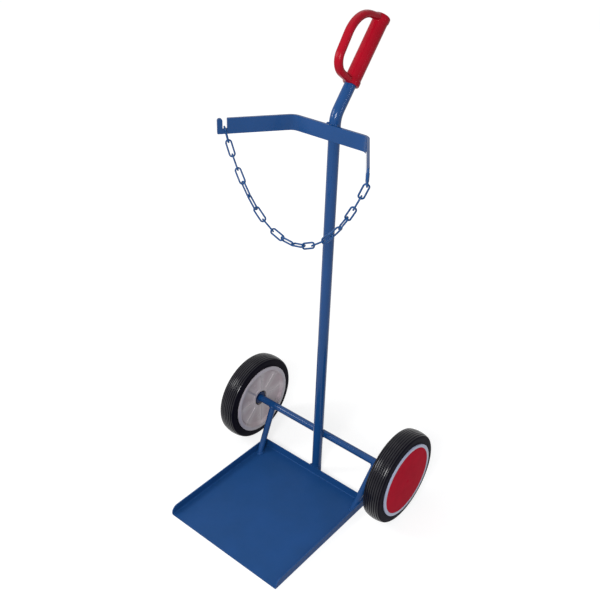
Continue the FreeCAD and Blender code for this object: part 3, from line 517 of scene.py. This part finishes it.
class TROLLEY_OT_hubs(bpy.types.Operator):
    """Finish the hubs, hub caps, bearings, washers and split pins"""
    bl_idname = "trolley.hubs"
    bl_label = "Finish the hubs"

    def execute(self, context):
        colours = context.scene.trolley_colours
        for start, make in (("hub_cap", cap_plastic), ("bearing_", roller_steel),
                            ("roller_cage", cage_nylon), ("axle_washer", zinc_plate),
                            ("split_pin", zinc_plate)):
            dress([name for name in NODES if name.startswith(start)], make(colours))
        finish = hub_plastic(colours)
        for body in WHEELS:
            node = body.replace("wheel", "wheel_hub")
            piece = new_piece(body.replace("wheel", "moulded_hub"), self.soften(node), finish,
                              body)
            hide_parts(node)
        return {"FINISHED"}

    def soften(self, node):
        """Copy of a hub whose edges have a mould's small rounds."""
        bm = bmesh.new()
        bm.from_mesh(NODES[node].data)
        bmesh.ops.remove_doubles(bm, verts=bm.verts, dist=0.005 * MM)
        bmesh.ops.dissolve_limit(bm, angle_limit=math.radians(0.5), verts=bm.verts, edges=bm.edges)
        edges = [e for e in bm.edges if e.is_manifold and e.calc_face_angle() > math.radians(28)]
        bmesh.ops.bevel(bm, geom=edges, offset=0.5 * MM, segments=2, profile=0.5, affect="EDGES",
                        material=-1, clamp_overlap=True)
        return bm


class TROLLEY_OT_tyres(bpy.types.Operator):
    """Mould the grooved rubber tyres"""
    bl_idname = "trolley.tyres"
    bl_label = "Mould the tyres"

    def execute(self, context):
        tyres = context.scene.trolley_tyres
        colours = context.scene.trolley_colours
        tread, wall = tread_rubber(colours), wall_rubber(colours)
        for body, centre in WHEELS.items():
            node = body.replace("wheel", "tyre")
            low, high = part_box(node)
            outer = (high.z - low.z) / 2
            bm = self.mould(tyres, outer)
            # The grooves' floors and the sidewalls are dull, the ribs and shoulders polished
            for face in bm.faces:
                middle = face.calc_center_median()
                deep = from_hub(middle) < self.height(tyres, outer, middle.x) - 0.9 * MM
                face.material_index = int(deep or abs(face.normal.x) > 0.8)
            bmesh.ops.translate(bm, verts=bm.verts, vec=centre)
            piece = new_piece(body.replace("wheel", "grooved_tyre"), bm, tread, body)
            piece.data.materials.append(wall)
            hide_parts(node)
        return {"FINISHED"}

    def height(self, tyres, outer, u):
        """Radius of the tread's crown at a distance from the tyre's middle."""
        return outer - tyres.crown + math.sqrt(tyres.crown ** 2 - u ** 2)

    def mould(self, tyres, outer):
        """Tyre spun from its section, with its shoulders, grooves and sidewall line."""
        half = tyres.width / 2
        seat = outer - tyres.section
        line_low, line_high = seat + 11 * MM, seat + 12.2 * MM
        middles = [(k - (tyres.grooves - 1) / 2) * tyres.pitch for k in range(tyres.grooves)]
        tread = [(m + s * tyres.groove / 2) for m in middles for s in (-1, 1)]
        wall = [seat, line_low, line_high, self.height(tyres, outer, half)]
        section = [(-half, r) for r in wall] + [(u, self.height(tyres, outer, u)) for u in tread]
        section += [(half, r) for r in reversed(wall)]
        bm = bmesh.new()
        spots = [bm.verts.new((u, 0, r)) for u, r in section]
        edges = [bm.edges.new(pair) for pair in zip(spots, spots[1:] + spots[:1])]
        bmesh.ops.spin(bm, geom=spots + edges, cent=(0, 0, 0), axis=(1, 0, 0), angle=2 * math.pi,
                       steps=tyres.steps, use_merge=True)
        bmesh.ops.recalc_face_normals(bm, faces=bm.faces)

        shoulder = [e for e in bm.edges
                    if all(abs(abs(v.co.x) - half) < 1e-6 and from_hub(v.co) > line_high + MM
                           for v in e.verts)]
        bmesh.ops.bevel(bm, geom=shoulder, offset=tyres.shoulder, segments=7, profile=0.5,
                        affect="EDGES", material=-1)
        for middle in middles:
            groove = [f for f in bm.faces
                      if abs(f.calc_center_median().x - middle) < tyres.groove / 4
                      and from_hub(f.calc_center_median()) > line_high]
            bmesh.ops.inset_region(bm, faces=groove, thickness=0.25 * MM, depth=-tyres.depth,
                                   use_even_offset=True, use_boundary=True)
        ribs = [e for e in bm.edges
                if all(from_hub(v.co) > self.height(tyres, outer, v.co.x) - 0.2 * MM for v in e.verts)
                and any(all(abs(v.co.x - u) < 0.05 * MM for v in e.verts) for u in tread)]
        bmesh.ops.bevel(bm, geom=ribs, offset=tyres.round, segments=3, profile=0.5,
                        affect="EDGES", material=-1)
        line = [f for f in bm.faces
                if line_low < from_hub(f.calc_center_median()) < line_high
                and abs(abs(f.calc_center_median().x) - half) < 1e-5]
        bmesh.ops.inset_region(bm, faces=line, thickness=0.3 * MM, depth=-0.4 * MM,
                               use_even_offset=True, use_boundary=True)
        return bm


class TROLLEY_OT_welds(bpy.types.Operator):
    """Lay the weld beads between the steel pieces"""
    bl_idname = "trolley.welds"
    bl_label = "Lay the welds"

    def execute(self, context):
        welds = context.scene.trolley_welds
        coat = NODES["column_tube"].material_slots[0].material
        bm = bmesh.new()
        self.column(bm, welds)
        self.struts(bm, welds)
        self.chain_tack(bm, welds)
        new_piece("weld_beads", bm, coat, "frame", sharp=80)
        return {"FINISHED"}

    def column(self, bm, welds):
        """Beads down both sides of the column on the bracket and lip, and round the axle's saddle."""
        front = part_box("load_plate")[1].y
        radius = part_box("column_tube")[1].x
        middle = front + radius
        bar_low, bar_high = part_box("neck_bracket")
        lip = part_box("load_plate")[1].z
        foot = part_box("column_tube")[0].z
        width = welds.width
        for hand in (-1, 1):
            # A bead lies in the wedge between the tube's side and the flat that it touches
            x = hand * 0.85 * radius
            y = front + 0.42 * width
            for start, end in ((bar_low.z, bar_high.z + 0.3 * width),
                               (foot + 2 * MM, lip + 0.1 * width)):
                lay_bead(bm, straight(Vector((x, y, start)), Vector((x, y, end))), width, welds)
        low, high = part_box("axle_bar")
        axle = (high.z - low.z) / 2
        centre = (low + high) / 2
        reach = math.acos((centre.y - middle - radius) / axle)
        count = 48
        path = []
        for i in range(count):
            turn = 2 * math.pi * i / count
            angle = math.pi - reach * math.cos(turn)
            y = centre.y + axle * math.cos(angle)
            wide = math.copysign(math.sqrt(max(0, radius ** 2 - (y - middle) ** 2)), math.sin(turn))
            path.append(Vector((wide, y, centre.z + axle * math.sin(angle))))
        lay_bead(bm, path, 0.8 * width, welds, closed=True)

    def chain_tack(self, bm, welds):
        """Short beads that hold the last link to the bracket's right tip."""
        corners = [v.co for v in NODES["neck_bracket"].data.vertices if v.co.x > 0]
        outer = max(corners, key=lambda p: p.x)
        inner = min(corners, key=lambda p: p.y)
        across = Vector((outer.x - inner.x, outer.y - inner.y, 0))
        tip = Vector(((outer.x + inner.x) / 2, (outer.y + inner.y) / 2, 0))
        bar_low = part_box("neck_bracket")[0].z
        start, end = Vector((0, 0, bar_low + 6 * MM)), Vector((0, 0, bar_low + 26 * MM))
        for hand in (-1, 1):
            spot = tip + across * 0.3 * hand
            lay_bead(bm, straight(spot + start, spot + end), welds.fine, welds)

    def struts(self, bm, welds):
        """Beads round each strut's head on the axle and foot on the plate."""
        low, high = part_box("axle_bar")
        axle = (high.z - low.z) / 2
        centre = (low + high) / 2
        for hand in (-1, 1):
            head = Vector((hand * welds.strut_head, centre.y, centre.z))
            foot = Vector((hand * welds.strut_foot, welds.strut_ahead, welds.sheet))
            run = (head - foot).normalized()
            seat = run * 0.1 * welds.width
            side = run.orthogonal().normalized()
            lift = run.cross(side)
            upper, lower = [], []
            count = 44
            for i in range(count):
                turn = 2 * math.pi * i / count
                spoke = (side * math.cos(turn) + lift * math.sin(turn)) * welds.strut_width / 2
                lower.append(foot + spoke - run * (spoke.z / run.z) + seat)
                # Where this line along the strut's side meets the axle's round
                flat = Vector((0, spoke.y, spoke.z))
                way = Vector((0, run.y, run.z))
                a, b, c = way.dot(way), flat.dot(way), flat.dot(flat) - axle ** 2
                upper.append(head + spoke - run * ((b + math.sqrt(b * b - a * c)) / a))
            lay_bead(bm, upper, 0.7 * welds.width, welds, closed=True)
            lay_bead(bm, lower, 0.8 * welds.width, welds, closed=True)


class TROLLEY_OT_studio(bpy.types.Operator):
    """Set the camera, the lamps, the room and the floor"""
    bl_idname = "trolley.studio"
    bl_label = "Set the studio"

    def execute(self, context):
        studio = context.scene.trolley_studio
        context.scene.view_settings.view_transform = "Standard"
        self.set_camera(context, studio)
        for name, place, size, tint in LAMPS:
            self.set_lamp(context, name + "_lamp", getattr(studio, name), place, size, tint)
        self.set_room(context, studio)
        self.set_floor()
        return {"FINISHED"}

    def set_camera(self, context, studio):
        ahead = Vector((-math.sin(studio.yaw) * math.cos(studio.pitch),
                        math.cos(studio.yaw) * math.cos(studio.pitch), -math.sin(studio.pitch)))
        right = ahead.cross(Vector((0, 0, 1))).normalized()
        above = right.cross(ahead)
        tilt = Matrix((right, above, -ahead)).transposed() @ Matrix.Rotation(studio.roll, 3, "Z")
        lens = bpy.data.cameras.new("camera")
        lens.lens = studio.lens
        camera = bpy.data.objects.new("camera", lens)
        camera.matrix_world = Matrix.Translation(studio.camera) @ tilt.to_4x4()
        context.scene.collection.objects.link(camera)
        context.scene.camera = camera

    def set_lamp(self, context, name, power, place, size, tint):
        lamp = bpy.data.lights.new(name, "AREA")
        lamp.shape = "RECTANGLE"
        lamp.energy = power
        lamp.size, lamp.size_y = size
        lamp.color = linear(tint)
        holder = bpy.data.objects.new(name, lamp)
        aim = (LAMPS_AIM - Vector(place)).to_track_quat("-Z", "Y")
        holder.matrix_world = Matrix.Translation(place) @ aim.to_matrix().to_4x4()
        holder.visible_camera = False
        context.scene.collection.objects.link(holder)

    def seen(self, tree):
        """1 on rays that show the background: from the camera, or off or through glossy things."""
        path = add(tree, "ShaderNodeLightPath").outputs
        first = add(tree, "ShaderNodeMath", {0: path["Is Camera Ray"], 1: path["Is Glossy Ray"]},
                    operation="MAXIMUM").outputs[0]
        return add(tree, "ShaderNodeMath", {0: first, 1: path["Is Transmission Ray"]},
                   operation="MAXIMUM").outputs[0]

    def set_room(self, context, studio):
        world = bpy.data.worlds.new("room")
        world.use_nodes = True
        tree = world.node_tree
        tree.nodes.clear()
        strength = add(tree, "ShaderNodeMapRange", {"Value": self.seen(tree), "To Min": studio.sky,
                                                    "To Max": 1.0}).outputs[0]
        light = add(tree, "ShaderNodeBackground", {"Color": (1, 1, 1, 1), "Strength": strength})
        add(tree, "ShaderNodeOutputWorld", {"Surface": light.outputs[0]})
        context.scene.world = world

    def set_floor(self):
        """Paper sweep that shows white, throws some light back and keeps the shadow."""
        bm = bmesh.new()
        bmesh.ops.create_grid(bm, x_segments=2, y_segments=2, size=20)
        mesh = bpy.data.meshes.new("floor")
        bm.to_mesh(mesh)
        bm.free()
        floor = bpy.data.objects.new("floor", mesh)
        bpy.context.scene.collection.objects.link(floor)
        material = bpy.data.materials.new("white_paper_sweep")
        material.use_nodes = True
        tree = material.node_tree
        tree.nodes.clear()
        paper = add(tree, "ShaderNodeBsdfDiffuse", {"Color": (0.4, 0.4, 0.4, 1)})
        place = add(tree, "ShaderNodeTexCoord").outputs["Object"]
        # The lamps light the paper less further out, so its own white rises with the distance
        away = add(tree, "ShaderNodeVectorMath", {0: place}, operation="LENGTH").outputs["Value"]
        rise = add(tree, "ShaderNodeMapRange", {"Value": away, "From Min": 0.4, "From Max": 2.0,
                                                "To Min": 0.7, "To Max": 0.9}).outputs[0]
        glow = add(tree, "ShaderNodeMath", {0: self.seen(tree), 1: rise}, operation="MULTIPLY")
        white = add(tree, "ShaderNodeEmission", {"Color": (1, 1, 1, 1), "Strength": glow.outputs[0]})
        both = add(tree, "ShaderNodeAddShader", {0: paper.outputs[0], 1: white.outputs[0]})
        add(tree, "ShaderNodeOutputMaterial", {"Surface": both.outputs[0]})
        mesh.materials.append(material)


class TROLLEY_PT_panel(bpy.types.Panel):
    bl_idname = "TROLLEY_PT_panel"
    bl_label = "Gas cylinder trolley"
    bl_space_type = "VIEW_3D"
    bl_region_type = "UI"
    bl_category = "Trolley"

    def draw(self, context):
        for group in SETTINGS:
            settings = getattr(context.scene, group)
            box = self.layout.box()
            for name in settings.__annotations__:
                box.prop(settings, name)
        for operator in OPERATORS:
            self.layout.operator(operator.bl_idname)


OPERATORS = (TROLLEY_OT_frame_coat, TROLLEY_OT_grip, TROLLEY_OT_hubs, TROLLEY_OT_tyres,
             TROLLEY_OT_welds, TROLLEY_OT_studio)
CLASSES = (*SETTINGS.values(), *OPERATORS, TROLLEY_PT_panel)


def register():
    for item in CLASSES:
        bpy.utils.register_class(item)
    for name, group in SETTINGS.items():
        setattr(bpy.types.Scene, name, PointerProperty(type=group))


def unregister():
    for name in SETTINGS:
        delattr(bpy.types.Scene, name)
    for item in reversed(CLASSES):
        bpy.utils.unregister_class(item)


def main():
    register()
    bpy.ops.trolley.frame_coat()
    bpy.ops.trolley.grip()
    bpy.ops.trolley.hubs()
    bpy.ops.trolley.tyres()
    bpy.ops.trolley.welds()
    bpy.ops.trolley.studio()


if __name__ == "__main__":
    main()
